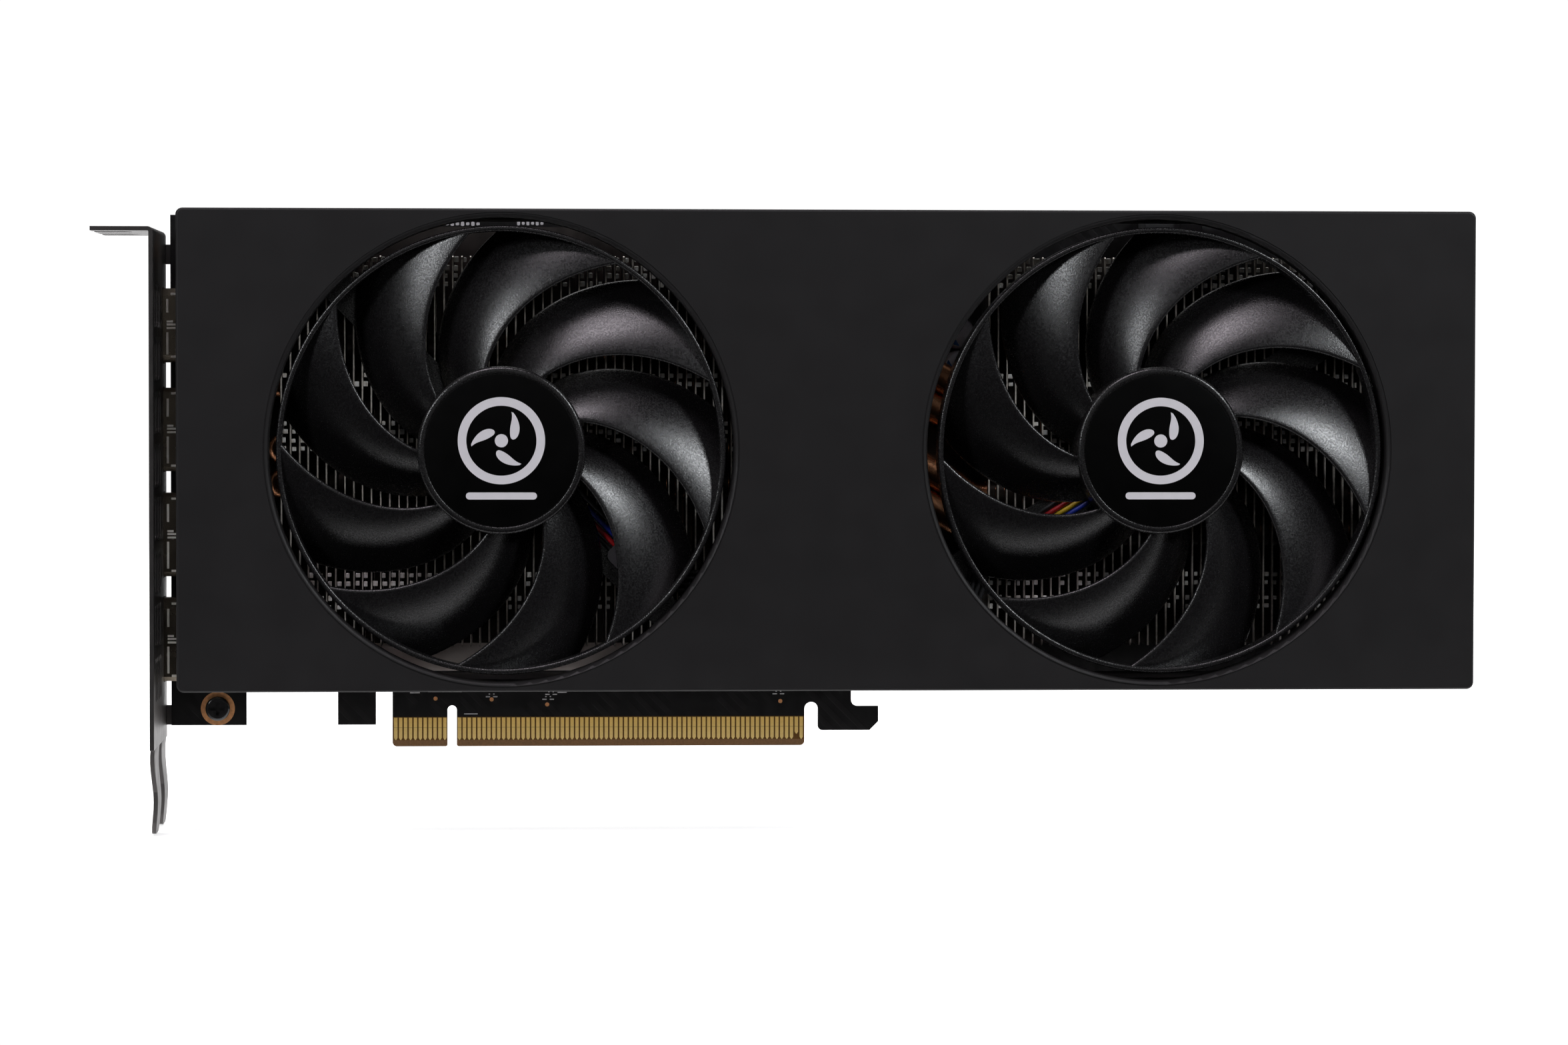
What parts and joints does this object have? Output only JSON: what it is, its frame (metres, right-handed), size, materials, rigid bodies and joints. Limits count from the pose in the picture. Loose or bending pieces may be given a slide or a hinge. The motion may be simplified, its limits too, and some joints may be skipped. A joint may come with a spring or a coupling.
{
  "type": "graphics card",
  "caption": "Dual-slot graphics card with two ducted axial fans, fin stacks on heat pipes, a display bracket and a gold edge connector.",
  "frame": {"origin": "centre line of the key slot, at the bottom of the finger board, on the board's component face", "axes": "+X from the bracket to the free end, +Z away from the gold fingers, fans face -Y"},
  "size_m": [0.2741, 0.0415, 0.1236],
  "materials": {
    "shroud_plastic": "fine satin black moulding",
    "board_laminate": "black solder mask",
    "gold_contacts": "gold plated",
    "bracket_metal": "black nickel, semi-gloss",
    "black_screws": "black oxide",
    "socket_steel": "nickel plated",
    "connector_plastic": "black moulded nylon",
    "back_plate_metal": "black powder coat",
    "chip_package": "epoxy",
    "silicon": "polished die",
    "pad_rubber": "soft silicone pad",
    "ferrite": "pressed ferrite",
    "can_aluminium": "drawn can",
    "cooler_aluminium": "bare stamped aluminium",
    "copper": "bare copper",
    "spring_steel": "spring steel",
    "header_plastic": "natural nylon",
    "wire_insulation": "PVC insulation in four colours",
    "fan_plastic": "grained satin black moulding",
    "hub_sticker": "gloss film",
    "bronze": "sintered",
    "motor_steel": "steel",
    "magnet_compound": "bonded ferrite"
  },
  "bodies": {
    "card": {"back_plate": "back_plate_metal", "base_plate": "cooler_aluminium", "bearing_left": "bronze", "bearing_right": "bronze", "bracket_screws": "black_screws", "capacitors": "can_aluminium", "chip_die": "silicon", "chip_substrate": "chip_package", "circuit_board": "board_laminate", "cold_plate": "copper", "display_socket_1": "socket_steel", "display_socket_2": "socket_steel", "display_socket_3": "socket_steel", "edge_contacts": "gold_contacts", "fan_frame_left": "fan_plastic", "fan_frame_right": "fan_plastic", "fan_headers": "header_plastic", "fan_lead_left": "wire_insulation", "fan_lead_right": "wire_insulation", "fan_plugs": "header_plastic", "fan_screws": "black_screws", "fin_stack_left": "cooler_aluminium", "fin_stack_right": "cooler_aluminium", "hdmi_socket": "socket_steel", "heat_pipe_1": "copper", "heat_pipe_2": "copper", "heat_pipe_3": "copper", "heat_pipe_4": "copper", "inductors": "ferrite", "insulating_sheet": "pad_rubber", "memory_chips": "chip_package", "motor_board_left": "board_laminate", "motor_board_right": "board_laminate", "mounting_bracket": "bracket_metal", "power_pins": "gold_contacts", "power_socket": "connector_plastic", "power_transistors": "chip_package", "retention_cross": "spring_steel", "retention_screws": "spring_steel", "retention_springs": "spring_steel", "shroud": "shroud_plastic", "shroud_screws": "black_screws", "socket_tongues": "connector_plastic", "standoffs": "socket_steel", "stator_coils_left": "copper", "stator_coils_right": "copper", "stator_core_left": "motor_steel", "stator_core_right": "motor_steel", "thermal_pads": "pad_rubber"},
    "fan_left": {"impeller_left": "fan_plastic", "hub_label_left": "hub_sticker", "yoke_left": "motor_steel", "magnet_left": "magnet_compound", "shaft_left": "motor_steel"},
    "fan_right": {"impeller_right": "fan_plastic", "hub_label_right": "hub_sticker", "yoke_right": "motor_steel", "magnet_right": "magnet_compound", "shaft_right": "motor_steel"}
  },
  "joints": [
    {"name": "fan_left_spin", "type": "hinge", "parent": "card", "child": "fan_left", "pos_m": [0.01, 0, 0.06114], "axis": [0, 1, 0], "continuous": true},
    {"name": "fan_right_spin", "type": "hinge", "parent": "card", "child": "fan_right", "pos_m": [0.14075, 0, 0.06114], "axis": [0, 1, 0], "continuous": true}
  ]
}
